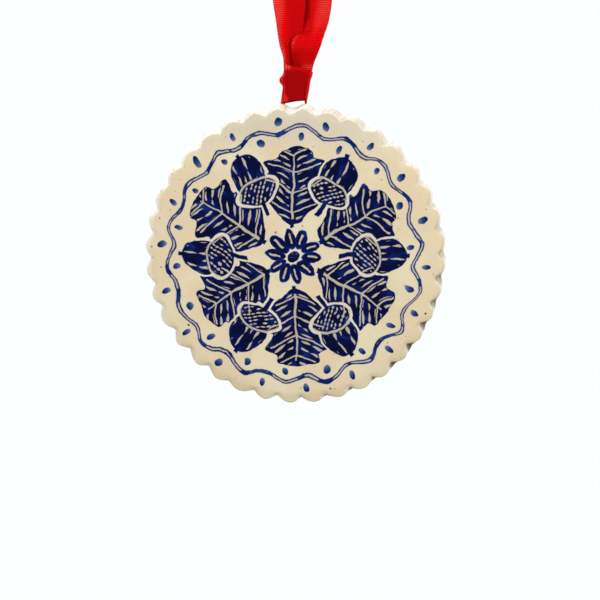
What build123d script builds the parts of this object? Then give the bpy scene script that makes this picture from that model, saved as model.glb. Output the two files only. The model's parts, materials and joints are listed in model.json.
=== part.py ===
from build123d import *
import os
from math import atan2, cos, degrees, hypot, pi, radians, sin, sqrt

# Hanging ornament: a scalloped clay disc with a strap lug on its back, hung by a ribbon loop.
# Millimetres. The face looks along -Y, +Z is up, and the hook bears on the loop at the origin.

# Disc
disc_diameter = 90.0  # across two opposite crests
disc_thickness = 6.5
scallop_count = 36
scallop_depth = 1.7  # crest to valley
crest_radius = 3.3
face_round = 2.0  # rolled edge round the face
roll_steps = 2
back_round = 0.8

# Strap lug on the back
lug_drop = 9.0  # top of the disc down to the middle of the eye
lug_reach = 2.6  # back of the disc out to the middle of the eye
eye_radius = 3.0
strap_thickness = 2.4
strap_width = 5.0
strap_bevel = 0.7
foot_spread = 1.6  # how far each end of the strap is thumbed out along the disc
foot_flare = 0.6  # how much wider than the strap each end is
foot_height = 1.5

# Ribbon
ribbon_width = 9.5
ribbon_thickness = 0.4
hook_radius = 3.5  # inside of the turn over the hook
loop_rise = 48.0  # hook down to the top of the hitch
hitch_height = 10.5
hitch_flare = 1.2  # how much wider the hitch is at its top
hitch_lean = 0.8  # how far its top is pulled to the right
hitch_corner = 1.5
sling_width = 3.6  # the ribbon is folded lengthwise where it goes through the lug
sling_thickness = 0.8
sling_bend = 0.9  # middle of the band, where it turns under the strap
pleat_thickness = 0.9  # the legs are gathered where they leave the hitch

# Clearances
eye_clearance = 0.3  # ribbon to the wall of the eye
strap_clearance = 0.3  # ribbon to the sides of the strap
rim_clearance = 0.3  # hitch above the upright rim
twist_clearance = 0.3  # legs above the hitch, which turns under them

# The legs of the loop, from the hitch up to the turn over the hook:
# share of the height, across, back, width, thickness and quarter twist in degrees
left_leg_stations = [
    (0.00, -1.25, 0.8, 4.9, pleat_thickness, 0),
    (0.17, -1.55, 0.7, 6.9, ribbon_thickness, 8),
    (0.30, -1.6, 0.5, 8.3, ribbon_thickness, 8),
    (0.44, -1.6, 0.1, ribbon_width, ribbon_thickness, 8),
    (0.68, -2.6, 0.0, ribbon_width, ribbon_thickness, 42),
    (0.87, -4.0, 0.0, ribbon_width, ribbon_thickness, 76),
]
# the right leg starts in front of the left one and passes behind its edge a quarter of the way up
right_leg_stations = [
    (0.00, 2.5, -0.9, 5.8, pleat_thickness, 0),
    (0.11, 3.0, -1.0, 8.3, ribbon_thickness, 0),
    (0.17, 3.9, -0.8, 8.0, ribbon_thickness, 0),
    (0.23, 5.8, 0.0, 6.0, ribbon_thickness, -12),
    (0.265, 6.05, 0.5, 6.6, ribbon_thickness, -18),
    (0.30, 5.9, 1.0, 9.1, ribbon_thickness, -20),
    (0.44, 6.7, 0.9, ribbon_width, ribbon_thickness, -18),
    (0.68, 6.6, 0.3, ribbon_width, ribbon_thickness, -55),
    (0.87, 5.0, 0.1, ribbon_width, ribbon_thickness, -83),
]

# Heights along the string of pieces
turn_middle = hook_radius + ribbon_thickness / 2
legs_top = -hook_radius
hitch_top = -loop_rise
hitch_bottom = hitch_top - hitch_height
swing_height = hitch_bottom - lug_drop - rim_clearance

# Places that depend on one another
disc_radius = disc_diameter / 2
strand_middle = strap_width / 2 + strap_clearance + sling_thickness / 2
hitch_bottom_width = 2 * strand_middle + sling_thickness + ribbon_thickness
hitch_top_width = hitch_bottom_width + hitch_flare
hitch_depth = sling_width + ribbon_thickness


def scalloped_outline(inset):
    """Crests and valleys as tangent arcs, with a valley at the top, drawn in from the edge by the inset."""
    pitch = 2 * pi / scallop_count
    crest_centre = disc_radius - crest_radius
    valley_reach = disc_radius - scallop_depth
    # the valley arc that is tangent to the crest arcs on both sides
    spread = crest_centre * cos(pitch / 2)
    valley_radius = (crest_centre**2 + valley_reach**2 - 2 * spread * valley_reach - crest_radius**2) / (
        2 * (crest_radius + spread - valley_reach)
    )
    valley_centre = valley_reach + valley_radius
    share = (crest_radius - inset) / (crest_radius + valley_radius)
    meet_x = crest_centre + share * (valley_centre * cos(pitch / 2) - crest_centre)
    meet_y = share * valley_centre * sin(pitch / 2)
    meet_reach = hypot(meet_x, meet_y)
    meet_angle = atan2(meet_y, meet_x)

    def at(reach, angle):
        return (reach * cos(angle), reach * sin(angle))

    arcs = []
    for number in range(scallop_count):
        crest = pi / 2 + (number + 0.5) * pitch
        start = at(meet_reach, crest - meet_angle)
        end = at(meet_reach, crest + meet_angle)
        following = at(meet_reach, crest + pitch - meet_angle)
        arcs.append(ThreePointArc(start, at(disc_radius - inset, crest), end))
        arcs.append(ThreePointArc(end, at(valley_reach - inset, crest + pitch / 2), following))
    return make_face(arcs)


def make_disc():
    """The upright disc, with the eye of the lug at the origin: a slab with a rolled edge round its face."""
    levels = [(0, back_round), (back_round, 0)]
    for step in range(roll_steps + 1):
        turn = step / roll_steps * pi / 2
        levels.append((disc_thickness - face_round * (1 - sin(turn)), face_round * (1 - cos(turn))))
    sections = []
    for rise, inset in levels:
        place = (0, -lug_reach - rise, lug_drop - disc_radius)
        plane = Plane(origin=place, x_dir=(1, 0, 0), z_dir=(0, -1, 0))
        sections.append(plane * scalloped_outline(inset))
    return loft(sections, ruled=True)


def make_lug():
    """A strap of clay bent round the eye, with both ends thumbed out on the back of the disc."""
    middle = eye_radius + strap_thickness / 2
    knee = foot_height - lug_reach
    bend = Line((0, knee, middle), (0, 0, middle))
    bend += ThreePointArc((0, 0, middle), (0, middle, 0), (0, 0, -middle))
    bend += Line((0, 0, -middle), (0, knee, -middle))

    def softened(width, height):
        outline = Rectangle(width, height)
        return chamfer(outline.vertices(), strap_bevel)

    def across(back, height):
        return Plane(origin=(0, back, height), x_dir=(1, 0, 0), z_dir=(0, 1, 0))

    section = softened(strap_width, strap_thickness)
    pad = softened(strap_width + foot_flare, strap_thickness + foot_spread)
    strap = sweep(across(knee, middle) * section, path=bend)
    for side in (1, -1):
        seat = across(-lug_reach, side * (middle + foot_spread / 2)) * pad
        strap += loft([seat, across(knee, side * middle) * section], ruled=True)
    return strap


def make_sling():
    """The folded ribbon that runs through the eye and rises beside the strap."""
    highest = sqrt((eye_radius - eye_clearance) ** 2 - (sling_width / 2) ** 2)
    run = swing_height + highest - sling_thickness / 2
    route = FilletPolyline(
        (-strand_middle, hitch_bottom),
        (-strand_middle, run),
        (strand_middle, run),
        (strand_middle, hitch_bottom),
        radius=sling_bend,
    )
    band = Plane.XZ * trace(route, line_width=sling_thickness)
    return extrude(band, amount=sling_width / 2, both=True)


def make_hitch():
    """The crosspiece of the hitch, wrapped round both legs of the loop."""
    low = Plane.XY.offset(hitch_bottom) * RectangleRounded(hitch_bottom_width, hitch_depth, hitch_corner)
    top = Plane(origin=(hitch_lean, 0, hitch_top))
    high = top * RectangleRounded(hitch_top_width, hitch_depth, hitch_corner)
    return loft([low, high], ruled=True)


def make_leg(stations, side):
    """One leg of the loop: gathered at the hitch, flat to the front, edge-on at the hook."""
    bottom = hitch_top + twist_clearance
    top_station = (1.0, side * turn_middle, 0.0, ribbon_width, ribbon_thickness, -90 * side)
    sections = []
    for share, across, back, width, thickness, turn in stations + [top_station]:
        height = bottom + share * (legs_top - bottom)
        along = (cos(radians(turn)), sin(radians(turn)), 0)
        place = Plane(origin=(across, back, height), x_dir=along, z_dir=(0, 0, 1))
        sections.append(place * Rectangle(width, thickness))
    return loft(sections, ruled=True)


def make_turn():
    """The half turn of ribbon that lies over the hook."""
    outside = Circle(hook_radius + ribbon_thickness)
    ring = outside - Circle(hook_radius)
    upper = Pos(0, hook_radius) * Rectangle(4 * turn_middle, 2 * hook_radius)
    half = Pos(0, -hook_radius) * (ring & upper)
    return extrude(Plane.XZ * half, amount=ribbon_width / 2, both=True)


disc = make_disc()
lug = make_lug()

# The clay hangs with its middle of mass straight below the eye.
mass = disc.volume + lug.volume
balance = (disc.center(CenterOf.MASS) * disc.volume + lug.center(CenterOf.MASS) * lug.volume) / mass
hang_tilt = degrees(atan2(-balance.Y, -balance.Z))
hang = Location((0, 0, swing_height)) * Location((0, 0, 0), (hang_tilt, 0, 0))

nodes = {
    "scalloped_disc": hang * disc,
    "hanging_lug": hang * lug,
    "ribbon_sling": make_sling(),
    "ribbon_hitch": make_hitch(),
    "ribbon_left_leg": make_leg(left_leg_stations, -1),
    "ribbon_right_leg": make_leg(right_leg_stations, 1),
    "ribbon_top_turn": make_turn(),
}

os.makedirs("parts", exist_ok=True)
for name, shape in nodes.items():
    export_step(shape, f"parts/{name}.step")

print(f"hang tilt {hang_tilt:.2f} degrees, swing axis at z {swing_height:.2f}")
print(f"turn over the hook: radius {turn_middle:.2f}")
print(f"hitch top at z {hitch_top:.2f}, bottom at z {hitch_bottom:.2f}")
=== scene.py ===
import bpy
import bmesh
import json
from math import atan2, cos, exp, pi, radians, sin, sqrt
from mathutils import Matrix, Vector, noise


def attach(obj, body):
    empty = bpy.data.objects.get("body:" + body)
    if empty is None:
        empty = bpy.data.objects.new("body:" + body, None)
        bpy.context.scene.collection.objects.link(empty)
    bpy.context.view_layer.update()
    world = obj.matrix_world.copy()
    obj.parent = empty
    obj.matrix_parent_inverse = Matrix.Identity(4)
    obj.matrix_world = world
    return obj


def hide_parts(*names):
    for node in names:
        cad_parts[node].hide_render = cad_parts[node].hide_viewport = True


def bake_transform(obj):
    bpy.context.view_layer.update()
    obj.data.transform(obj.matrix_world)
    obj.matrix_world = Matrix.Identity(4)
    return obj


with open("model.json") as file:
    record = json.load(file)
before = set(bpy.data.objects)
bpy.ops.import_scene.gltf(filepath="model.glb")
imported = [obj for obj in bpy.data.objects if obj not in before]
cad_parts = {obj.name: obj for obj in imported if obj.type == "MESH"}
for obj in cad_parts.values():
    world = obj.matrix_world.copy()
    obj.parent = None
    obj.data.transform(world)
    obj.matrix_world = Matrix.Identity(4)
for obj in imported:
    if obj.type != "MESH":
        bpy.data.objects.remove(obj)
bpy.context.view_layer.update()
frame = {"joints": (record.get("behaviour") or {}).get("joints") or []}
scene = bpy.context.scene
mm = 0.001
joints = {joint["name"]: joint for joint in frame["joints"]}
swingAxis = Vector(joints["disc_swing"]["pos_m"])
print("frame loaded, swing axis at", tuple(swingAxis))


# helpers for meshes

def addObject(name, data):
    made = bpy.data.objects.new(name, data)
    bpy.context.collection.objects.link(made)
    return made


def addPiece(name, bm, material, nodes):
    mesh = bpy.data.meshes.new(name)
    bm.normal_update()
    bm.to_mesh(mesh)
    bm.free()
    mesh.materials.append(material)
    mesh.shade_smooth()
    piece = addObject(name, mesh)
    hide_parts(*nodes)
    return piece


def ease(share):
    share = min(max(share, 0.0), 1.0)
    return share * share * (3 - 2 * share)


def through(stops, place):
    # smooth values at a place along a list of (place, value, value, ...)
    place = min(max(place, stops[0][0]), stops[-1][0])
    last = len(stops) - 1
    low = max(number for number in range(last) if stops[number][0] <= place)
    before, start, end, after = (stops[min(max(low + step, 0), last)] for step in (-1, 0, 1, 2))
    run = end[0] - start[0]
    part = (place - start[0]) / run
    values = []
    for number in range(1, len(start)):
        leave = (end[number] - before[number]) / (end[0] - before[0]) * run
        arrive = (after[number] - start[number]) / (after[0] - start[0]) * run
        bend = (2 * part**3 - 3 * part**2 + 1) * start[number] + (part**3 - 2 * part**2 + part) * leave
        values.append(bend + (3 * part**2 - 2 * part**3) * end[number] + (part**3 - part**2) * arrive)
    return values


def bell(distance, width):
    return exp(-(distance / width) ** 2)


def bent(value, power):
    # a sine or cosine bent towards a squarer outline
    return abs(value) ** power * (1 if value > 0 else -1)


# helpers for node trees

def plug(tree, value, socket):
    if isinstance(value, Wire):
        value = value.socket
    if isinstance(value, bpy.types.NodeSocket):
        tree.links.new(value, socket)
    else:
        socket.default_value = value


def addNode(tree, kind, inputs=None, **settings):
    made = tree.nodes.new("ShaderNode" + kind)
    for key, value in settings.items():
        setattr(made, key, value)
    for key, value in (inputs or {}).items():
        plug(tree, value, made.inputs[key])
    return made


class Wire:
    # a number in a node tree, so that masks can be written as sums
    def __init__(self, tree, socket):
        self.tree = tree
        self.socket = socket

    def calc(self, operation, *others, clamp=False):
        made = addNode(self.tree, "Math", operation=operation, use_clamp=clamp)
        for socket, value in zip(made.inputs, (self,) + others):
            plug(self.tree, value, socket)
        return Wire(self.tree, made.outputs[0])

    def __add__(self, other):
        return self.calc("ADD", other)

    def __sub__(self, other):
        return self.calc("SUBTRACT", other)

    def __rsub__(self, other):
        return self.calc("MULTIPLY_ADD", -1.0, other)

    def __mul__(self, other):
        return self.calc("MULTIPLY", other)

    def __truediv__(self, other):
        return self.calc("DIVIDE", other)

    def __abs__(self):
        return self.calc("ABSOLUTE")

    def most(self, *others):
        found = self
        for other in others:
            found = found.calc("MAXIMUM", other)
        return found

    def least(self, *others):
        found = self
        for other in others:
            found = found.calc("MINIMUM", other)
        return found

    def clip(self):
        return self.calc("ADD", 0.0, clamp=True)

    def step(self, low, high):
        # 0 below low, 1 above high, soft between
        made = addNode(self.tree, "MapRange", {0: self, 1: low, 2: high}, interpolation_type="SMOOTHSTEP")
        return Wire(self.tree, made.outputs[0])


def combine(tree, x, y, z=0.0):
    return addNode(tree, "CombineXYZ", {0: x, 1: y, 2: z}).outputs[0]


def separate(tree, vector):
    split = addNode(tree, "SeparateXYZ", {0: vector})
    return [Wire(tree, socket) for socket in split.outputs]


def cloud(tree, place, scale, detail=2.0):
    made = addNode(tree, "TexNoise", {"Vector": place, "Scale": scale, "Detail": detail})
    return Wire(tree, made.outputs[0])


def chance(tree, first, second=0.0):
    place = combine(tree, first, second, 0.37)
    made = addNode(tree, "TexWhiteNoise", {"Vector": place}, noise_dimensions="3D")
    return Wire(tree, made.outputs[0])


def attribute(tree, name):
    return Wire(tree, addNode(tree, "Attribute", attribute_name=name).outputs["Fac"])


def mixColour(tree, share, first, second):
    made = addNode(tree, "Mix", data_type="RGBA")
    for number, value in ((0, share), (6, first), (7, second)):
        plug(tree, value, made.inputs[number])
    return made.outputs[2]


def ramp(tree, share, stops):
    made = addNode(tree, "ValToRGB", {0: share})
    marks = made.color_ramp.elements
    marks[0].position = stops[0][0]
    marks[0].color = stops[0][1]
    marks[1].position = stops[-1][0]
    marks[1].color = stops[-1][1]
    for place, colour in stops[1:-1]:
        marks.new(place).color = colour
    return made.outputs[0]


def bareTree(owner):
    owner.use_nodes = True
    owner.node_tree.nodes.clear()
    return owner.node_tree


def newMaterial(name, finish):
    made = bpy.data.materials.new(name)
    tree = bareTree(made)
    out = addNode(tree, "OutputMaterial")
    shader = addNode(tree, "BsdfPrincipled", finish)
    tree.links.new(shader.outputs[0], out.inputs[0])
    return made, tree, shader


def srgb(red, green, blue):
    def linear(value):
        value /= 255
        return value / 12.92 if value <= 0.04045 else ((value + 0.055) / 1.055) ** 2.4
    return (linear(red), linear(green), linear(blue), 1.0)


# camera, framed as the photograph is

camera = {
    "aim": Vector((1.51, 0.0, -117.87)) * mm,  # what the middle of the picture shows
    "azimuth": 8.0,
    "elevation": 1.3,
    "away": 0.70,
    "across": 0.1790,  # width of the picture at the aim
}


def addCamera():
    data = bpy.data.cameras.new("photoCamera")
    data.sensor_width = 36.0
    data.sensor_height = 36.0
    data.lens = data.sensor_width * camera["away"] / camera["across"]
    data.clip_start = 0.01
    made = addObject("photoCamera", data)
    side = radians(camera["azimuth"])
    up = radians(camera["elevation"])
    out = Vector((sin(side) * cos(up), -cos(side) * cos(up), sin(up)))
    made.location = camera["aim"] + out * camera["away"]
    made.rotation_euler = out.to_track_quat("Z", "Y").to_euler()
    scene.camera = made


addCamera()
print("camera placed")


# red ribbon cloth, ribbed across its length

cloth = {
    "width": 9.5,
    "thick": 0.4,
    "pitch": 0.66,  # mm from rib to rib
    "ribDepth": 0.05,
    "red": srgb(252, 14, 18),
    "grooveShade": srgb(200, 8, 11),
    "shaded": srgb(144, 7, 10),
    "lit": srgb(255, 86, 78),
    "finish": {
        "Roughness": 0.65,
        "Specular IOR Level": 0.0,
        "Sheen Weight": 0.04,
        "Sheen Roughness": 0.35,
        "Sheen Tint": (1.0, 0.12, 0.1, 1.0),
    },
}


def ribbonMaterial():
    made, tree, shader = newMaterial("ribbedRibbon", cloth["finish"])
    across, along, _ = separate(tree, addNode(tree, "UVMap", uv_map="cloth").outputs[0])
    rib = (along * (2 * pi / cloth["pitch"])).calc("SINE") * 0.5 + 0.5
    threads = cloud(tree, combine(tree, across * 5.0, along * 1.6), 1.0)
    # darker in the rib grooves: painted shade there, mixed with a random tone from the threads
    tone = (rib * 0.8 + threads * 0.35).step(0.18, 0.92)
    colour = mixColour(tree, tone, cloth["grooveShade"], cloth["red"])
    # painted shade and painted highlight, from each piece's shade and lit attributes
    colour = mixColour(tree, attribute(tree, "shade").clip() * 0.9, colour, cloth["shaded"])
    colour = mixColour(tree, attribute(tree, "lit").clip() * (tone * 0.8 + 0.15), colour, cloth["lit"])
    plug(tree, colour, shader.inputs["Base Color"])
    bump = addNode(tree, "Bump", {"Strength": 0.3, "Distance": 0.00008, "Height": rib * 0.7 + threads * 0.5})
    plug(tree, bump.outputs[0], shader.inputs["Normal"])
    return made


redRibbon = ribbonMaterial()


class Route:
    # a smooth line through control points in mm, asked for a place at a share of its length
    def __init__(self, points):
        curve = bpy.data.curves.new("route", "CURVE")
        curve.dimensions = "3D"
        curve.resolution_u = 24
        spline = curve.splines.new("NURBS")
        spline.points.add(len(points) - 1)
        for point, place in zip(spline.points, points):
            point.co = (*(Vector(place) * mm), 1.0)
        spline.order_u = 3
        spline.use_endpoint_u = True
        holder = bpy.data.objects.new("route", curve)
        mesh = bpy.data.meshes.new_from_object(holder)
        self.line = [vertex.co.copy() for vertex in mesh.vertices]
        bpy.data.objects.remove(holder)
        bpy.data.meshes.remove(mesh)
        bpy.data.curves.remove(curve)
        self.marks = [0.0]
        for before, after in zip(self.line, self.line[1:]):
            self.marks.append(self.marks[-1] + (after - before).length)
        self.length = self.marks[-1]

    def place(self, share):
        goal = min(max(share, 0.0), 1.0) * self.length
        low = 0
        high = len(self.marks) - 1
        while high - low > 1:
            middle = (low + high) // 2
            if self.marks[middle] <= goal:
                low = middle
            else:
                high = middle
        part = (goal - self.marks[low]) / max(self.marks[high] - self.marks[low], 1e-9)
        return self.line[low].lerp(self.line[high], part)

    def direction(self, share):
        nudge = 0.004
        return (self.place(share + nudge) - self.place(share - nudge)).normalized()


def clothGrid(columns, rows):
    bm = bmesh.new()
    bmesh.ops.create_grid(bm, x_segments=columns, y_segments=rows, size=0.5)
    return bm, bm.verts.layers.float.new("shade"), bm.verts.layers.float.new("lit")


def ribRise(along):
    return cloth["ribDepth"] * sin(2 * pi * along / cloth["pitch"])


def addCloth(name, bm, flat, thick, nodes):
    # flat holds each vertex's place on the cloth, in mm
    layer = bm.loops.layers.uv.new("cloth")
    for face in bm.faces:
        for corner in face.loops:
            corner[layer].uv = flat[corner.vert]
    bmesh.ops.solidify(bm, geom=bm.faces[:], thickness=thick * mm)
    return addPiece(name, bm, redRibbon, nodes)


# ribbon loop: up the left leg, over the hook and down the right leg

loop = {
    "rows": 760,
    "columns": 28,
    "bow": 0.3,  # how far the edges fall back where the cloth is flat
    "drawnBow": 1.1,  # and how much more where it is gathered
    "wave": 0.14,
    "crossAt": -40.6,  # height where the right leg comes to the front
    "lip": 0.7,  # how far its inner edge curls forward there
    "tuckAt": -36.2,  # height where that edge goes behind the left leg
    "tuck": 0.8,
    "spread": 0.42,  # how far the right leg's outer edge stands out
    "spreadAt": -42.2,
    "pull": 0.4,  # how far the left leg's outer edge is pulled in above the hitch
    "pullAt": -45.0,
    "bulgeAt": -48.3,  # height of the painted highlight just above the hitch, where the cloth bunches
}
loopRoute = [  # mm; the first and last points are inside the hitch
    (-0.9, 0.5, -53.0),
    (-1.25, 0.8, -47.7),
    (-1.55, 0.7, -40.3),
    (-1.65, 0.1, -28.4),
    (-2.6, 0.0, -17.6),
    (-4.0, 0.0, -9.2),
    (-3.7, 0.0, -3.5),
    (-3.7, 0.0, 0.2),
    (3.7, 0.0, 0.2),
    (3.7, 0.0, -3.5),
    (5.0, 0.1, -9.2),
    (6.6, 0.3, -17.6),
    (6.7, 0.8, -28.4),
    (5.9, 1.0, -34.3),
    (5.4, 0.2, -37.6),
    (3.9, -0.8, -40.0),
    (3.0, -1.0, -42.5),
    (2.5, -0.9, -47.2),
    (1.7, -0.6, -53.0),
]
# height, width and turn in degrees of each leg's cloth
leftLay = [(-53.0, 4.4, 0), (-47.7, 4.9, 4), (-40.3, 6.9, 8), (-34.3, 8.35, 8), (-28.4, 9.7, 8),
           (-17.6, 9.5, 42), (-9.2, 9.5, 76), (-3.5, 9.5, 90)]
rightLay = [(-53.0, 5.4, 0), (-47.2, 6.3, 2), (-44.4, 7.5, 3), (-41.5, 8.4, 2), (-40.2, 8.1, 0),
            (-39.0, 7.7, -5), (-37.8, 7.4, -14), (-36.5, 8.1, -20), (-34.3, 9.1, -20), (-28.4, 9.5, -18),
            (-17.6, 9.5, -55), (-9.2, 9.5, -83), (-3.5, 9.5, -90)]


def addLoop():
    route = Route(loopRoute)
    bm, shade, lit = clothGrid(loop["columns"], loop["rows"])
    flat = {}
    for vertex in bm.verts:
        side = vertex.co.x * 2  # -1 to 1 across the cloth
        share = vertex.co.y + 0.5
        along = share * route.length / mm
        middle = route.place(share)
        height = middle.z / mm
        onLeft = share < 0.5
        width, turn = through(leftLay if onLeft else rightLay, height)
        if not onLeft:
            turn += 180
        forward = route.direction(share)
        wide = Vector((cos(radians(turn)), sin(radians(turn)), 0.0))  # the ribs stay level
        out = forward.cross(wide).normalized()  # towards the back on the left leg
        # edges fall back a little, and the cloth has slow waves
        drawn = max(1 - width / cloth["width"], 0.0)
        bow = (loop["bow"] + loop["drawnBow"] * drawn) * side * side
        wave = loop["wave"] * sin(height * 0.45 + side * 2.2 + (0 if onLeft else 2.0))
        low = ease((-28 - height) / 12)
        lip = 0.0
        if onLeft:
            shift = loop["pull"] * bell(height - loop["pullAt"], 2.4) * ease(-side)
            bow *= 1 - 0.7 * ease(side)
            # painted highlight along its outer edge; painted shade beside the right leg, low down and over
            # its inner part
            vertex[lit] = ease((-side - 0.1 - 0.4 * low) / 0.5)
            beside = ease((side + 0.25) / 0.3) * ease((-39 - height) / 3)
            under = 0.45 * ease((-42 - height) / 4) * ease((side + 0.8) / 0.4)
            vertex[shade] = max(beside, under, 0.4 * ease((side + 0.35) / 0.4))
        else:
            # its inner edge goes behind the left leg, and curls forward where it crosses over
            crossing = bell(height - loop["crossAt"], 2.0)
            lip = loop["lip"] * crossing * ease((side - 0.7) / 0.3)
            bow *= 1 - crossing * ease(side)
            bow += 0.9 * ease((side - 0.2) / 0.8) * ease((height + 39) / 4) * ease((-14 - height) / 10)
            shift = loop["tuck"] * bell(height - loop["tuckAt"], 1.8) * ease(side)
            shift -= loop["spread"] * bell(height - loop["spreadAt"], 4.2) * ease(-side)
            # painted highlight on its outer side, over the hitch and on the curl; painted shade as a dark
            # slit beside the left leg, over its inner part and low down
            outer = ease((-side + 0.22) / 0.6) * ease((height + 40) / 10)
            bulge = 0.6 * bell(height - loop["bulgeAt"], 0.8) * ease((0.2 - side) / 0.5)
            glint = 0.5 * bell(height - loop["crossAt"], 1.3) * ease((side - 0.7) / 0.3)
            vertex[lit] = max(outer, bulge, glint)
            slit = ease((side - 0.56) / 0.16)
            inner = max(slit, 0.55 * ease((side - 0.3 + 0.75 * low) / 0.6)) * ease((height + 42) / 4)
            inner *= 1 - crossing * ease((side - 0.6) / 0.3)
            vertex[shade] = max(inner, (0.5 + 0.35 * ease(side + 0.2)) * ease((-41 - height) / 4))
        reach = side * width / 2 + shift
        stand = bow + wave - lip + ribRise(along)
        vertex.co = middle + wide * (reach * mm) + out * (stand * mm)
        flat[vertex] = (side * cloth["width"] / 2, along)
    nodes = ("ribbon_left_leg", "ribbon_top_turn", "ribbon_right_leg")
    piece = addCloth("ribbonLoop", bm, flat, cloth["thick"], nodes)
    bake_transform(piece)
    print("ribbon loop made, length", round(route.length, 4))
    return piece, route


loopPiece, loopLine = addLoop()


# hitch: the crosspiece that wraps both legs, with its ribs upright

hitch = {
    "top": -47.7,
    "bottom": -59.0,
    "deep": 2.0,  # half of its depth
    "fall": 2.3,  # how much lower the top edge is on the right
    "lift": 1.0,  # how much higher the bottom edge is there
    "tuck": 1.2,  # how far the tuck stands out of the left side
    "tuckAt": 0.6,  # share of the height
    "roll": 0.35,  # how far the top edge rolls forward
    "crease": 0.2,
    "rows": 60,
    "columns": 180,
}
# share of the height, left and right side
hitchSides = [(0.0, -4.2, 3.6), (0.45, -3.55, 4.3), (0.74, -3.4, 4.65), (0.86, -3.3, 5.0), (1.0, -2.9, 5.3)]


def addHitch():
    bm, shade, lit = clothGrid(hitch["columns"], hitch["rows"])
    flat = {}
    for vertex in bm.verts:
        circle = (vertex.co.x + 0.5) * 2 * pi  # starts and ends at the back
        share = vertex.co.y + 0.5
        left, right = through(hitchSides, share)
        across = -sin(circle)
        back = cos(circle)
        x = (left + right) / 2 + (right - left) / 2 * bent(across, 0.75)
        y = hitch["deep"] * bent(back, 0.5)
        part = (x - left) / (right - left)
        front = ease(-back * 4)
        crumple = noise.noise(Vector((x * 0.5, share * 1.5, back)))
        top = hitch["top"] - hitch["fall"] * part + 0.3 * crumple
        bottom = hitch["bottom"] + hitch["lift"] * part + 0.25 * sin(pi * part)
        z = bottom + (top - bottom) * share
        # a tuck stands out of the left side, the top edge rolls forward and the face sags
        tuck = bell(share - hitch["tuckAt"], 0.1) * ease((-across - 0.5) / 0.4)
        x -= hitch["tuck"] * tuck
        roll = ease((share - 0.86) / 0.14)
        y -= (hitch["roll"] * roll * (1 + 0.6 * crumple) + 0.12 * crumple) * front
        crease = bell(part - 0.1 - 0.3 * ease((0.5 - share) / 0.5), 0.07)
        y += hitch["crease"] * crease * front
        vertex.co = Vector((x, y, z)) * mm
        flat[vertex] = (share * (hitch["top"] - hitch["bottom"]), x + y * 0.5)
        # painted shade over its face, with painted highlights on its side strips and along the rolled top
        # edge
        leftEdge = ease((0.14 + 0.2 * ease((0.35 - share) / 0.35) - part) / 0.1)
        rightEdge = ease((part - 0.9) / 0.1)
        vertex[shade] = 1 - max(0.65 * leftEdge, 0.8 * rightEdge) - 0.5 * roll
        vertex[lit] = 0.2 * leftEdge + 0.15 * rightEdge + 0.8 * roll * ease((0.3 - part) / 0.15)
    piece = addCloth("ribbonHitch", bm, flat, cloth["thick"], ["ribbon_hitch"])
    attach(piece, "hitch")
    print("hitch made")
    return piece


hitchPiece = addHitch()


# sling: the ribbon, folded lengthwise, that runs through the lug

sling = {"width": 3.4, "thick": 0.8, "rows": 160, "columns": 12}
slingRoute = [
    (-3.2, 0.0, -55.5),
    (-3.3, 0.0, -60.0),
    (-3.2, 0.0, -63.5),
    (-2.9, 0.0, -66.3),
    (0.0, 0.0, -66.25),
    (2.9, 0.0, -66.3),
    (3.2, 0.0, -63.5),
    (3.3, 0.0, -60.0),
    (3.2, 0.0, -55.5),
]


def addSling():
    route = Route(slingRoute)
    bm, shade, _ = clothGrid(sling["columns"], sling["rows"])
    wide = Vector((0.0, 1.0, 0.0))
    flat = {}
    for vertex in bm.verts:
        side = vertex.co.x * 2
        share = vertex.co.y + 0.5
        along = share * route.length / mm
        forward = route.direction(share)
        out = forward.cross(wide).normalized()
        stand = 0.1 * sin(side * 4) + ribRise(along)
        vertex.co = route.place(share) + wide * (side * sling["width"] / 2 * mm) + out * (stand * mm)
        flat[vertex] = (side * sling["width"] / 2, along)
        # painted shade over the whole sling
        vertex[shade] = 1.0
    piece = addCloth("ribbonSling", bm, flat, sling["thick"], ["ribbon_sling"])
    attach(piece, "hitch")
    print("sling made")
    return piece


slingPiece = addSling()
loopPath = [loopLine.place(step / 160) for step in range(161)]
cloth["width"] * mm


# cream glaze with iron specks, shared by the disc and the lug

cream = {
    "warm": srgb(228, 210, 174),
    "pale": srgb(231, 219, 185),
    "blush": srgb(229, 206, 173),
    # brown for the grain of the glaze, and for the painted shade in the valleys
    "toastAndShade": srgb(112, 92, 52),
    "speck": srgb(60, 46, 36),
    "grey": srgb(206, 198, 180),  # along the top of the face
    "paintedHighlight": srgb(255, 253, 247),  # painted highlight over sharp edges
    "halo": srgb(196, 196, 206),  # round the blue
    "scratch": srgb(194, 185, 168),
    "finish": {"Roughness": 0.1, "IOR": 1.5, "Specular IOR Level": 0.5},
}


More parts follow.
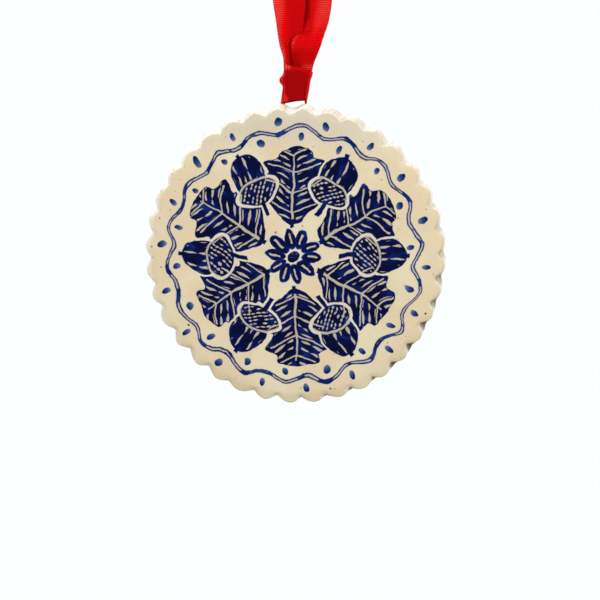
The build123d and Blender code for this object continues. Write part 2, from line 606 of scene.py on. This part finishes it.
def glazeGroup():
    group = bpy.data.node_groups.new("speckledGlaze", "ShaderNodeTree")
    group.interface.new_socket("Place", in_out="INPUT", socket_type="NodeSocketVector")
    group.interface.new_socket("Colour", in_out="OUTPUT", socket_type="NodeSocketColor")
    ends = group.nodes.new("NodeGroupInput"), group.nodes.new("NodeGroupOutput")
    place = ends[0].outputs[0]
    colour = mixColour(group, cloud(group, place, 0.07, 3.0).step(0.4, 0.62), cream["warm"], cream["pale"])
    colour = mixColour(group, cloud(group, place, 0.11, 2.0).step(0.58, 0.72) * 0.6, colour, cream["blush"])
    grain = cloud(group, place, 2.2, 2.0).step(0.45, 0.75)
    colour = mixColour(group, grain * 0.06, colour, cream["toastAndShade"])
    for scale, size, share in ((0.28, 0.10, 0.5), (0.6, 0.13, 0.25)):
        cells = addNode(group, "TexVoronoi", {"Vector": place, "Scale": scale})
        pick = separate(group, cells.outputs["Color"])
        reach = (pick[1] * 0.6 + 0.5) * size
        dot = 1 - (Wire(group, cells.outputs["Distance"]) - reach).step(-0.02, 0.015)
        dot = dot * pick[0].step(1 - share, 1.01 - share)
        colour = mixColour(group, dot * (pick[2] * 0.5 + 0.5), colour, cream["speck"])
    group.links.new(colour, ends[1].inputs[0])
    return group


speckledGlaze = glazeGroup()


def glazeBase(tree):
    place = addNode(tree, "VectorMath", {0: addNode(tree, "TexCoord").outputs["Object"]}, operation="SCALE")
    place.inputs["Scale"].default_value = 1 / mm
    body = addNode(tree, "Group", node_tree=speckledGlaze)
    plug(tree, place.outputs[0], body.inputs[0])
    return body.outputs[0]


def plainGlaze():
    made, tree, shader = newMaterial("creamGlaze", cream["finish"])
    plug(tree, glazeBase(tree), shader.inputs["Base Color"])
    return made


# painted face: leaves and nuts round a rosette inside a wavy border, cobalt with scratched lines

design = {  # mm from the middle of the face, and half widths and heights
    "wedges": 6,
    "leafStart": 9.2,
    "leafLength": 23.9,
    "leafHalf": 14.6,
    "lobePitch": 5.9,
    "nutAt": 27.5,
    "nutHalf": (5.3, 6.4),
    "nutTip": 34.8,
    "capAt": 21.8,
    "capHalf": (5.9, 3.7),
    "petals": 10,
    "petalAt": 5.4,
    "petalHalf": (1.65, 3.0),
    "heart": 1.7,
    "waves": 18,
    "waveAt": 37.3,
    "waveRise": 1.1,
    "lineHalf": 0.62,
    "dabHalf": 0.95,
    "dabsOutside": (39.8, 1.4),  # place and half height
    "dabsInside": (35.2, 1.15),
    "scratchHalf": 0.36,
}
cobalt = [
    (0.0, srgb(150, 155, 168)),
    (0.3, srgb(92, 108, 145)),
    (0.5, srgb(36, 66, 122)),
    (0.7, srgb(8, 34, 100)),
    (0.86, srgb(3, 14, 74)),
    (1.0, srgb(3, 8, 50)),
]


def inside(shape):
    return shape.step(-0.14, 0.1)


def oval(x, y, halfX, halfY):
    # roughly mm from the edge, more than 0 inside
    reach = ((x / halfX) * (x / halfX) + (y / halfY) * (y / halfY)).calc("SQRT")
    return (1 - reach) * min(halfX, halfY)


def fold(angle, reach, count, offset=0.0):
    # one wedge of a round pattern: across, outward, and the number of the wedge
    pitch = 2 * pi / count
    turned = angle + offset
    number = (turned / pitch + 0.5).calc("FLOOR")
    local = turned - number * pitch
    return reach * local.calc("SINE"), reach * local.calc("COSINE"), (number + count).calc("MODULO", count)


def dashes(tree, along, across, length, pitch):
    # rows of short scratches that taper at both ends
    row = (across / pitch).calc("FLOOR")
    off = abs(across / pitch - row - 0.5) * pitch
    run = along / length + chance(tree, row) * 0.8
    cell = run.calc("FLOOR")
    end = (run - cell - 0.5) * 2.25
    pick = chance(tree, row, cell)
    width = (1 - end * end) * (pick * 0.5 + 0.7) * design["scratchHalf"]
    return (width - off).step(-0.1, 0.06) * pick.step(0.1, 0.12)


def paint(tree):
    u, v, _ = separate(tree, addNode(tree, "UVMap", uv_map="face").outputs[0])
    flat = combine(tree, u, v)
    sway = addNode(tree, "TexNoise", {"Vector": flat, "Scale": 0.1, "Detail": 1.0}).outputs[1]
    shake = addNode(tree, "TexNoise", {"Vector": flat, "Scale": 0.7, "Detail": 1.0}).outputs[1]
    swayX, swayY, _ = separate(tree, sway)
    shakeX, shakeY, _ = separate(tree, shake)
    x = u + (swayX - 0.5) * 3.6 + (shakeX - 0.5) * 0.5
    y = v + (swayY - 0.5) * 3.6 + (shakeY - 0.5) * 0.5
    reach = (x * x + y * y).calc("SQRT")
    angle = x.calc("ARCTAN2", y)

    # nuts between the leaves
    nutX, nutY, nutNumber = fold(angle, reach, design["wedges"], pi / design["wedges"])
    nutX = nutX + (chance(tree, nutNumber, 2.0) - 0.5) * (nutY - 18.0) * 0.2
    nut = oval(nutX, nutY - design["nutAt"], *design["nutHalf"])
    nut = nut.most((design["nutTip"] - nutY).least(0.6 - abs(nutX), nutY - 31.0))
    cap = oval(nutX, nutY - design["capAt"], *design["capHalf"])
    stem = (0.6 - abs(nutX)).least(nutY - 14.0, 20.0 - nutY)
    rim = (0.3 - abs(cap + 0.2)).least(nutY - design["capAt"]).step(-0.1, 0.06)
    nutLines = dashes(tree, nutY, nutX, 5.0, 2.0) * nut.step(0.35, 0.6) * (1 - cap.step(-0.9, -0.6))
    capDots = dashes(tree, nutX + nutY, nutX - nutY, 1.9, 1.7) * cap.step(0.35, 0.55)

    # leaves, which stop short of the nuts
    leafX, leafY, number = fold(angle, reach, design["wedges"])
    lean = chance(tree, number, 4.0) - 0.5
    leafX = leafX + lean * (leafY - 12.0) * 0.12
    leafY = leafY * (chance(tree, number, 9.0) * 0.05 + 0.975)
    side = abs(leafX)
    share = ((leafY - design["leafStart"]) / design["leafLength"]).clip()
    beyond = (leafY - design["leafStart"] - design["leafLength"]).most(design["leafStart"] - leafY, 0.0)
    slant = leafY - side * 0.5
    lobes = (slant * (2 * pi / design["lobePitch"]) + lean * 3.0).calc("COSINE")
    envelope = share.calc("POWER", 0.44) * (1 - share.calc("POWER", 3.5)).calc("SQRT")
    half = envelope * (lobes * 0.15 + 0.85) * design["leafHalf"]
    leaf = (half - side - 0.15 - beyond).least(-0.75 - nut.most(cap, stem))
    stalk = (0.6 - side).least(leafY - 8.6, 11.5 - leafY)
    middle = (0.45 - share * 0.3 - side).least(leafY - 10.8, 31.0 - leafY).step(-0.1, 0.08)
    vein = ((lobes - 0.97) * 8.0).least(half * 0.8 - side).step(-0.1, 0.06)
    run = side * 1.1 + leafY * 0.3 + leafX.calc("SIGN") * 0.7
    hatch = dashes(tree, run, leafY - side * 0.6, 5.2, 2.3)
    hatch = hatch * leaf.step(0.25, 0.55) * (side - 1.0).step(0.0, 0.3) * (1 - lobes).step(0.12, 0.3)
    leafScratch = middle.most(vein, hatch)

    # rosette in the middle
    petalX, petalY, _ = fold(angle, reach, design["petals"], 0.2)
    petal = oval(petalX, petalY - design["petalAt"], *design["petalHalf"])
    petalLine = (0.25 - abs(petalX)).least(petalY - 4.0, 7.2 - petalY).step(-0.1, 0.06)
    heart = design["heart"] - reach

    # border: a wavy line with a dab in each bend
    wave = (angle * design["waves"]).calc("SINE") * design["waveRise"] + design["waveAt"]
    line = design["lineHalf"] - abs(reach - wave)
    lineScratch = (0.2 - abs(reach - wave)).step(-0.1, 0.06) * cloud(tree, flat, 0.16).step(0.44, 0.5)
    dabs = None
    quarter = pi / (2 * design["waves"])
    for turned, (place, tall) in ((quarter, design["dabsOutside"]), (-quarter, design["dabsInside"])):
        dabX, dabY, dabNumber = fold(angle, reach, design["waves"], turned)
        size = chance(tree, dabNumber, place) * 0.3 + 0.8
        dab = oval(dabX / size, dabY - place, design["dabHalf"], tall)
        tone = inside(dab) * ((dabY - place) * 0.22 + size * 0.2 + 0.32).clip()
        dabs = dabs.most(tone) if dabs else tone

    body = leaf.most(stalk, nut, cap, stem, petal, heart)
    streaks = cloud(tree, combine(tree, leafX * 0.55, leafY * 0.09, number), 1.0, 3.0)
    pools = cloud(tree, flat, 0.22, 2.0)
    tone = ((streaks - 0.5) * 0.9 + (pools - 0.5) * 0.9 + 0.93).clip().most(0.5)
    tone = tone - (1 - body.step(0.0, 0.5)) * 0.12
    scratch = leafScratch.most(rim, nutLines, capDots, petalLine, lineScratch)
    density = (inside(body) * tone).most(inside(line) * (pools * 0.7 + 0.32), dabs)
    halo = body.most(line).step(-0.9, 0.0) * 0.2
    return density, scratch, halo


def paintedGlaze():
    made, tree, shader = newMaterial("paintedGlaze", cream["finish"])
    front = attribute(tree, "front").step(0.45, 0.55)
    density, scratch, halo = paint(tree)
    density = density * front
    colour = glazeBase(tree)
    valley = attribute(tree, "valley")
    # painted shade in the valleys
    colour = mixColour(tree, valley.clip(), colour, cream["toastAndShade"])
    flat = addNode(tree, "UVMap", uv_map="face").outputs[0]
    up = separate(tree, flat)[1]
    # darker and greyer along the top of the face
    colour = mixColour(tree, up.step(29.0, 39.0) * front * 0.6, colour, cream["grey"])
    # painted highlight along the shoulder, the cut edges and beside the lower right notches, in patches
    paintedHighlight = cloud(tree, flat, 0.8).step(0.3, 0.5) * 0.9
    colour = mixColour(tree, attribute(tree, "edge").clip() * paintedHighlight, colour, cream["paintedHighlight"])
    colour = mixColour(tree, halo * front, colour, cream["halo"])
    blue = ramp(tree, density, cobalt)
    colour = mixColour(tree, density.step(0.02, 0.3), colour, blue)
    colour = mixColour(tree, scratch * density.step(0.1, 0.4) * 0.92, colour, cream["scratch"])
    plug(tree, colour, shader.inputs["Base Color"])
    # less glossy in the valleys, where the shade is painted
    gloss = (1 - valley.clip()) * cream["finish"]["Specular IOR Level"]
    plug(tree, gloss, shader.inputs["Specular IOR Level"])
    return made


# disc: a rolled slab of clay with a cut, scalloped edge

disc = {
    "across": 90.0,
    "thick": 6.5,
    "scallops": 36,
    "depth": 1.75,
    "uneven": 0.3,  # share by which the notches differ in depth
    "wander": 0.25,  # how far the outline strays from a circle
    "slant": 0.7,  # how far the upper left edge is cut back at the face
    "flatTo": 4,  # the face is flat up to here from the edge
    "slowFall": 0.45,  # then falls this far
    "fallRun": 3.47,  # over this distance
    "faceRoll": 0.8,  # the shoulder after it
    "shoulderSlope": 20,
    "sag": 0.5,  # how far the lower edge of the face falls back
    "backRoll": 0.7,
    "fluteReach": 3.8,  # how far in the flutes fade out
    "notchTurn": 0.8,  # radians by which the sides of a notch face away from its middle
    "paleBand": 0.2,  # half width of the painted highlight along the shoulder
    "paleLeft": 0.7,  # how much wider it is at the left
    "shallowAt": 2.35,  # angle from the top of the lower right, where the notches are shallow and their painted shade darkest
    "perScallop": 18,
    "lugDrop": 9.0,  # top of the disc down to the eye
    "lugReach": 2.6,  # back of the disc out to the eye
    "tilt": 9.19,  # it hangs from behind, so it leans forward
}


def hangPlace():
    # from an upright disc with the eye at the origin to where it hangs
    lean = Matrix.Rotation(radians(disc["tilt"]), 4, "X")
    return Matrix.Translation(swingAxis) @ lean @ Matrix.Scale(mm, 4)


def scallop(angle):
    # the nearest valley's number, how far past it, and 1 at its bottom to 0 at a crest
    # uneven, as cut by hand
    turn = angle / (2 * pi / disc["scallops"])
    turn += 0.12 * noise.noise(Vector((cos(angle) * 9, sin(angle) * 9, 5.0))) + 0.09 * (1 - cos(angle))
    across = sin(pi * turn)
    blunt = 0.11 + 0.08 * max(cos(angle), 0.0)
    dip = 1 - sqrt(across * across + blunt * blunt) / sqrt(1 + blunt * blunt)
    return round(turn) % disc["scallops"], turn - round(turn), dip


def lowRight(angle):
    return max(cos(angle - disc["shallowAt"]), 0.0) ** 2


def rimReach(angle, inset, depth):
    number, _, dip = scallop(angle)
    uneven = noise.noise(Vector((number * 7.3, 1.7, 0.4)))
    wander = disc["wander"] * noise.noise(Vector((cos(angle) * 1.4, sin(angle) * 1.4, 3.1)))
    fade = ease(1 - inset / disc["fluteReach"])
    # the cutter went in deeper at the face than at the back, and hardly got through at the lower right
    behind = depth / disc["thick"] + 0.5
    web = lowRight(angle) * ease((behind - 0.45) / 0.4)
    notch = disc["depth"] * (1 + disc["uneven"] * uneven) * (1.15 - 0.3 * behind - 0.52 * web)
    # the upper left edge is cut at a slant
    slant = disc["slant"] * max(cos(angle + 0.4), 0.0) * ease(1 - behind / 0.75) * ease(1 - inset / 6)
    return disc["across"] / 2 - inset + wander - notch * dip * fade - slant


def discProfile():
    # inset from the edge and depth, from the middle of the face to the middle of the back
    half = disc["thick"] / 2
    roll = disc["faceRoll"]
    back = disc["backRoll"]
    fall = disc["slowFall"]
    insets = (44.6, 42, 38, 34, 30, 26, 22, 18, 14, 11, 8.5, 6.5, 5, disc["flatTo"])
    steps = [(inset, -half) for inset in insets]
    for inset in (3.4, 2.8, 2.3, 1.9, 1.5, 1.2, 0.9):
        steps.append((inset, fall * ((disc["flatTo"] - inset) / disc["fallRun"]) ** 2 - half))
    slope = radians(disc["shoulderSlope"])
    for step in range(11):
        turn = slope + step / 10 * (pi / 2 - slope)
        steps.append((roll * (1 - sin(turn)), fall - half + roll * (cos(slope) - cos(turn))))
    for depth in (-1.2, -0.5, 0.0, 0.5, 1.0, 1.6, 2.1):
        steps.append((-0.05, depth))
    for step in range(7):
        turn = step / 6 * pi / 2
        steps.append((back * (1 - cos(turn)), half - back * (1 - sin(turn))))
    steps += [(inset, half) for inset in (1.6, 3, 5, 8, 11, 14, 17, 20, 23, 26, 29, 32, 35, 38, 41, 43, 44.6)]
    return steps


def addDisc():
    bm = bmesh.new()
    front = bm.verts.layers.float.new("front")
    valley = bm.verts.layers.float.new("valley")
    edge = bm.verts.layers.float.new("edge")
    middle = Vector((0, -disc["lugReach"] - disc["thick"] / 2, disc["lugDrop"] - disc["across"] / 2))
    ring = bmesh.ops.create_circle(bm, segments=disc["scallops"] * disc["perScallop"], radius=1.0)["verts"]
    bmesh.ops.rotate(bm, verts=ring, cent=(0, 0, 0), matrix=Matrix.Rotation(pi / 2, 3, "X"))
    edges = bm.edges[:]
    profile = discProfile()
    for number, (inset, depth) in enumerate(profile):
        if number:
            grown = bmesh.ops.extrude_edge_only(bm, edges=edges)["geom"]
            ring = [item for item in grown if isinstance(item, bmesh.types.BMVert)]
            edges = [item for item in grown if isinstance(item, bmesh.types.BMEdge)]
        for vertex in ring:
            angle = atan2(vertex.co.x, vertex.co.z)
            reach = max(rimReach(angle, inset, depth), 0.4)
            lower = max(-cos(angle), 0.0)
            sag = disc["sag"] * lower * ease(1 - inset / 6) ** 2 * (0.5 - depth / disc["thick"])
            vertex.co = Vector((reach * sin(angle), depth + sag, reach * cos(angle)))
            vertex[front] = ease((-depth - disc["thick"] * 0.2) / (disc["thick"] * 0.2))
            _, past, dip = scallop(angle)
            low = lowRight(angle)
            wall = ease((depth + disc["thick"] * 0.5 - 1.4) / 0.8)  # behind the shoulder
            # painted shade in the valleys at the rim, darkest at the lower right and faint elsewhere
            valleyShade = max(low, 0.1 + 0.2 * lower)
            vertex[valley] = valleyShade * ease((dip - 0.3 + 0.25 * wall) / 0.4) * ease(1 - inset / 0.9)
            # painted highlight along the shoulder, most at the upper left, over the cut edge where it faces
            # up and beside the valleys at the lower right
            band = disc["paleBand"] + disc["paleLeft"] * max(-sin(angle), 0.0) ** 2
            shoulder = max(0.3 + 0.7 * cos(angle + 0.5), 0.0) * bell(inset - 0.3, band)
            facing = angle - disc["notchTurn"] * sin(2 * pi * past)
            cut = 0.75 * max(cos(facing), 0.0) ** 2 * ease((0.25 - inset) / 0.2)
            beside = 0.9 * low * bell(past - 0.16, 0.09) * bell(inset - 0.45, 0.4)
            vertex[edge] = max(shoulder * ease((-depth - 1.0) / 0.8), cut, beside)
        if number in (0, len(profile) - 1):
            bmesh.ops.contextual_create(bm, geom=edges)
    layer = bm.loops.layers.uv.new("face")
    for face in bm.faces:
        for corner in face.loops:
            corner[layer].uv = (corner.vert.co.x, corner.vert.co.z)
    for vertex in bm.verts:
        vertex.co.y += noise.noise(vertex.co * 0.05) * 0.3 + noise.noise(vertex.co * 0.2) * 0.06
    bmesh.ops.transform(bm, matrix=hangPlace() @ Matrix.Translation(middle), verts=bm.verts[:])
    bmesh.ops.recalc_face_normals(bm, faces=bm.faces[:])
    piece = addPiece("scallopedDisc", bm, paintedGlaze(), ["scalloped_disc"])
    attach(piece, "ornament")
    print("disc made")


addDisc()


# lug: a strap of clay with both ends thumbed out on the back

lug = {
    "bend": 4.2,  # middle of the strap round the eye
    "width": 5.0,
    "thick": 2.4,
    "footWidth": 5.8,
    "footThick": 4.0,
    "sink": 0.2,  # how far the feet go into the back
    "squareness": 0.7,
    "rows": 72,
    "columns": 32,
}


def addLug():
    bm = bmesh.new()
    bmesh.ops.create_grid(bm, x_segments=lug["columns"], y_segments=lug["rows"], size=0.5)
    leg = disc["lugReach"] + lug["sink"]
    arc = pi * lug["bend"]
    whole = arc + 2 * leg
    for vertex in bm.verts:
        circle = (vertex.co.x + 0.5) * 2 * pi
        run = (vertex.co.y + 0.5) * whole
        turn = min(max((run - leg) / lug["bend"], 0.0), pi)
        below = max(leg - run, run - leg - arc, 0.0)  # how far down a foot
        foot = ease(below / leg) ** 1.5
        width = lug["width"] + (lug["footWidth"] - lug["width"]) * foot
        thick = lug["thick"] + (lug["footThick"] - lug["thick"]) * foot
        x = width / 2 * bent(cos(circle), lug["squareness"])
        out = thick / 2 * bent(sin(circle), lug["squareness"])
        reach = lug["bend"] + out + 0.4 * (lug["footThick"] - lug["thick"]) * foot
        lump = 1 + 0.03 * noise.noise(Vector((x * 0.4, run * 0.3, out * 0.4)))
        vertex.co = Vector((x * lump, reach * sin(turn) - below, reach * cos(turn)))
    bmesh.ops.remove_doubles(bm, verts=bm.verts[:], dist=0.001)
    bmesh.ops.contextual_create(bm, geom=[edge for edge in bm.edges if edge.is_boundary])
    bmesh.ops.recalc_face_normals(bm, faces=bm.faces[:])
    bmesh.ops.transform(bm, matrix=hangPlace(), verts=bm.verts[:])
    piece = addPiece("hangingLug", bm, plainGlaze(), ["hanging_lug"])
    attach(piece, "ornament")
    print("lug made")


addLug()


# light and ground

studio = {
    "aim": swingAxis + Vector((0, 0, -36 * mm)),  # the middle of the disc
    "white": (0.965, 1.0, 1.0, 1.0),
    "inMirrors": 0.06,  # how bright the white is in reflections
    "sky": 0.24,
    "ground": (0.55, 0.55, 0.55, 1),
    "floorAt": (0, 0.6, -0.30),
    "floorHalf": 1.5,
}
lamps = [  # name, place, size, power and whether it shows in reflections
    ("softboxRight", (0.36, -0.40, 0.09), 0.5, 2.2, False),
    ("softboxLeft", (-0.38, -0.42, 0.16), 0.5, 1.95, False),
    ("overheadLeft", (-0.20, 0.10, 0.30), 0.2, 1.1, True),
    ("overheadRight", (0.26, 0.12, 0.18), 0.2, 0.26, True),
    ("backdropGlow", (0.05, 0.42, 0.04), 0.75, 1.5, True),
]


def addLamp(name, place, size, power, mirrored):
    # a soft disc of light, hidden from the camera
    data = bpy.data.lights.new(name, "AREA")
    data.shape = "DISK"
    data.size = size
    data.energy = power
    made = addObject(name, data)
    made.location = place
    made.visible_camera = False
    made.visible_glossy = mirrored
    made.rotation_euler = (Vector(place) - studio["aim"]).to_track_quat("Z", "Y").to_euler()


def mixShader(tree, share, first, second):
    return addNode(tree, "MixShader", {0: share, 1: first, 2: second}).outputs[0]


def seenAsWhite(tree, dull):
    # white to the camera, dim in reflections, and its own light otherwise
    ray = addNode(tree, "LightPath")
    bright = addNode(tree, "Emission", {"Color": studio["white"], "Strength": 1.0})
    dim = addNode(tree, "Emission", {"Color": studio["white"], "Strength": studio["inMirrors"]})
    mirrored = mixShader(tree, ray.outputs["Is Glossy Ray"], dull, dim.outputs[0])
    return mixShader(tree, ray.outputs["Is Camera Ray"], mirrored, bright.outputs[0])


def addWorld():
    world = bpy.data.worlds.new("studio")
    scene.world = world
    tree = bareTree(world)
    soft = addNode(tree, "Background", {"Color": (1, 1, 1, 1), "Strength": studio["sky"]})
    out = addNode(tree, "OutputWorld")
    tree.links.new(seenAsWhite(tree, soft.outputs[0]), out.inputs[0])


def addFloor():
    bm = bmesh.new()
    bmesh.ops.create_grid(bm, x_segments=1, y_segments=1, size=studio["floorHalf"])
    bmesh.ops.translate(bm, vec=studio["floorAt"], verts=bm.verts[:])
    mesh = bpy.data.meshes.new("floor")
    bm.to_mesh(mesh)
    bm.free()
    made = bpy.data.materials.new("paleGround")
    tree = bareTree(made)
    dull = addNode(tree, "BsdfDiffuse", {"Color": studio["ground"]})
    out = addNode(tree, "OutputMaterial")
    tree.links.new(seenAsWhite(tree, dull.outputs[0]), out.inputs[0])
    mesh.materials.append(made)
    floor = addObject("floor", mesh)


for lamp in lamps:
    addLamp(*lamp)
addWorld()
addFloor()
scene.view_settings.view_transform = "Standard"
print("lights and ground placed")
